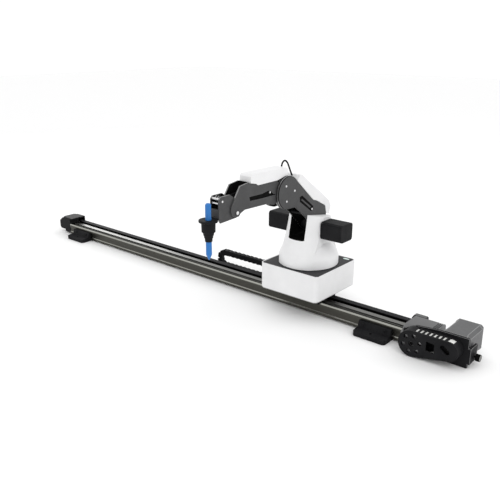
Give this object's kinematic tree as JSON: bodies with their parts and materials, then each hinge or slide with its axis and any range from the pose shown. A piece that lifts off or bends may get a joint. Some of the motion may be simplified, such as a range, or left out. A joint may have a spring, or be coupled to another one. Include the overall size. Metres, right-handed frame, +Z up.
{
  "type": "desktop robot arm on a linear rail",
  "caption": "Desktop parallel-link robot arm holding a pen upright, on a belt-driven linear rail with a geared motor at one end and a cable chain behind.",
  "frame": {"origin": "centre of the four foot bolt holes, on the surface the feet stand on", "axes": "+Z up, +X along the rail to the motor end, -Y the side the arm reaches over"},
  "size_m": [1.44, 0.4414, 0.3743],
  "materials": {
    "rail_metal": "anodised gunmetal",
    "bright_steel": "ground",
    "belt_rubber": "matte",
    "silver": "bead blasted",
    "black_metal": "satin",
    "black_plastic": "fine grain",
    "motor_grey": "satin",
    "dark_plate": "anodised, bright edges",
    "white_shell": "satin",
    "base_top": "fine grain",
    "light": "translucent",
    "pen_blue": "gloss",
    "belt_white": "matte polyurethane"
  },
  "bodies": {
    "rail": {"rail_extrusion": "rail_metal", "guide_rail": "bright_steel", "drive_belt": "belt_rubber", "idler_block": "black_metal", "idler_top_plate": "black_metal", "rail_feet": "black_plastic", "foot_screws": "black_metal", "drive_block": "silver", "motor_plate": "black_metal", "rail_motor": "motor_grey", "reduction_belt": "belt_white", "belt_cover": "black_plastic", "end_switch": "black_plastic", "chain_tray": "black_metal", "chain_lower_run": "black_plastic"},
    "idler": {"idler_pulley": "silver"},
    "drive": {"drive_shaft": "bright_steel", "large_pulley": "silver"},
    "motor_shaft": {"motor_pulley": "silver"},
    "tensioner": {"tension_screw": "bright_steel"},
    "chain_middle": {"chain_bend": "black_plastic"},
    "chain_tail": {"chain_tail_link": "black_plastic"},
    "carriage": {"carriage_plate": "black_metal", "guide_blocks": "bright_steel", "belt_clamp": "silver", "chain_bracket": "black_metal", "chain_upper_run": "black_plastic", "base_bottom_plate": "silver", "base_shell": "white_shell", "base_top_plate": "base_top", "status_light": "light", "port_panel": "black_plastic", "yaw_motor": "motor_grey", "slew_bearing": "bright_steel"},
    "button": {"power_button": "black_plastic"},
    "turret": {"turntable": "silver", "turret_shell": "white_shell", "shoulder_motors": "motor_grey", "shoulder_bearings": "bright_steel", "motor_covers": "black_plastic", "levelling_anchor": "black_metal"},
    "upper_arm": {"upper_arm_plates": "dark_plate", "elbow_discs": "dark_plate", "elbow_screws": "bright_steel", "upper_arm_pins": "black_metal", "upper_arm_cover": "white_shell"},
    "upper_rod": {"upper_levelling_rod": "black_metal"},
    "crank": {"crank": "black_metal"},
    "crank_pin": {"crank_pin": "black_metal"},
    "drive_rod": {"drive_rod": "black_metal"},
    "elbow_link": {"elbow_link": "dark_plate", "elbow_cable": "belt_rubber"},
    "forearm": {"forearm_plates": "dark_plate", "forearm_spacers": "silver", "forearm_cover": "white_shell"},
    "forearm_rod": {"forearm_levelling_rod": "black_metal"},
    "wrist": {"wrist_bracket": "dark_plate", "wrist_bolts": "bright_steel", "pen_holder": "black_plastic", "pen": "pen_blue"}
  },
  "joints": [
    {"name": "carriage_slide", "type": "slide", "parent": "rail", "child": "carriage", "axis": [1, 0, 0], "range_m": [-0.72, 0.194], "deforming": ["chain_lower_run", "chain_upper_run"]},
    {"name": "idler_spin", "type": "hinge", "parent": "rail", "child": "idler", "pos_m": [-0.64, 0.0145, 0.03], "axis": [0, 1, 0], "range_deg": [-5359, 1445]},
    {"name": "drive_spin", "type": "hinge", "parent": "rail", "child": "drive", "pos_m": [0.644, 0, 0.03], "axis": [0, 1, 0], "range_deg": [-5359, 1445]},
    {"name": "motor_spin", "type": "hinge", "parent": "rail", "child": "motor_shaft", "pos_m": [0.722, 0, 0.0375], "axis": [0, 1, 0], "range_deg": [-14735, 3971]},
    {"name": "tension_screw_turn", "type": "hinge", "parent": "rail", "child": "tensioner", "pos_m": [0.757, -0.022, 0.019], "axis": [1, 0, 0], "continuous": true},
    {"name": "chain_bend_slide", "type": "slide", "parent": "rail", "child": "chain_middle", "axis": [1, 0, 0], "range_m": [-0.36004, 0.09701]},
    {"name": "chain_tail_slide", "type": "slide", "parent": "carriage", "child": "chain_tail", "axis": [1, 0, 0], "range_m": [-0.09701, 0.36004]},
    {"name": "power_button_press", "type": "slide", "parent": "carriage", "child": "button", "axis": [0, -1, 0], "range_m": [0, 0.0015], "stiffness_N_per_m": 1000},
    {"name": "yaw", "type": "hinge", "parent": "carriage", "child": "turret", "pos_m": [0.332, 0, 0.118], "axis": [0, 0, 1], "range_deg": [-60, 60]},
    {"name": "shoulder", "type": "hinge", "parent": "turret", "child": "upper_arm", "pos_m": [0.332, 0, 0.21], "axis": [1, 0, 0], "range_deg": [-49.1, 28.9], "deforming": ["elbow_cable"]},
    {"name": "upper_rod_turn", "type": "hinge", "parent": "turret", "child": "upper_rod", "pos_m": [0.332, 0.0184, 0.2284], "axis": [1, 0, 0], "range_deg": [-49.1, 28.9]},
    {"name": "crank_turn", "type": "hinge", "parent": "turret", "child": "crank", "pos_m": [0.332, 0, 0.21], "axis": [1, 0, 0], "range_deg": [-12.4, 61.6]},
    {"name": "crank_pin_level", "type": "hinge", "parent": "crank", "child": "crank_pin", "pos_m": [0.332, 0.031, 0.21796], "axis": [1, 0, 0], "range_deg": [-61.6, 12.4]},
    {"name": "drive_rod_turn", "type": "hinge", "parent": "crank_pin", "child": "drive_rod", "pos_m": [0.332, 0.031, 0.21796], "axis": [1, 0, 0], "range_deg": [-49.1, 28.9]},
    {"name": "elbow_level", "type": "hinge", "parent": "upper_arm", "child": "elbow_link", "pos_m": [0.332, -0.11338, 0.30821], "axis": [1, 0, 0], "range_deg": [-28.9, 49.1]},
    {"name": "elbow", "type": "hinge", "parent": "elbow_link", "child": "forearm", "pos_m": [0.332, -0.11338, 0.30821], "axis": [1, 0, 0], "range_deg": [-12.4, 61.6], "deforming": ["elbow_cable"]},
    {"name": "forearm_rod_turn", "type": "hinge", "parent": "elbow_link", "child": "forearm_rod", "pos_m": [0.332, -0.12368, 0.33641], "axis": [1, 0, 0], "range_deg": [-12.4, 61.6]},
    {"name": "wrist_level", "type": "hinge", "parent": "forearm", "child": "wrist", "pos_m": [0.332, -0.27291, 0.29594], "axis": [1, 0, 0], "range_deg": [-61.6, 12.4]}
  ],
  "couplings": [
    {"joint": "idler_spin", "follows": "carriage_slide", "rad_per_m": 129.87},
    {"joint": "drive_spin", "follows": "carriage_slide", "rad_per_m": 129.87},
    {"joint": "motor_spin", "follows": "carriage_slide", "rad_per_m": 357.14},
    {"joint": "chain_bend_slide", "follows": "carriage_slide", "ratio": 0.5},
    {"joint": "chain_tail_slide", "follows": "carriage_slide", "ratio": -0.5},
    {"joint": "upper_rod_turn", "follows": "shoulder", "ratio": 1},
    {"joint": "elbow_level", "follows": "shoulder", "ratio": -1},
    {"joint": "drive_rod_turn", "follows": "shoulder", "ratio": 1},
    {"joint": "crank_turn", "follows": "elbow", "ratio": 1},
    {"joint": "crank_pin_level", "follows": "elbow", "ratio": -1},
    {"joint": "forearm_rod_turn", "follows": "elbow", "ratio": 1},
    {"joint": "wrist_level", "follows": "elbow", "ratio": -1}
  ]
}
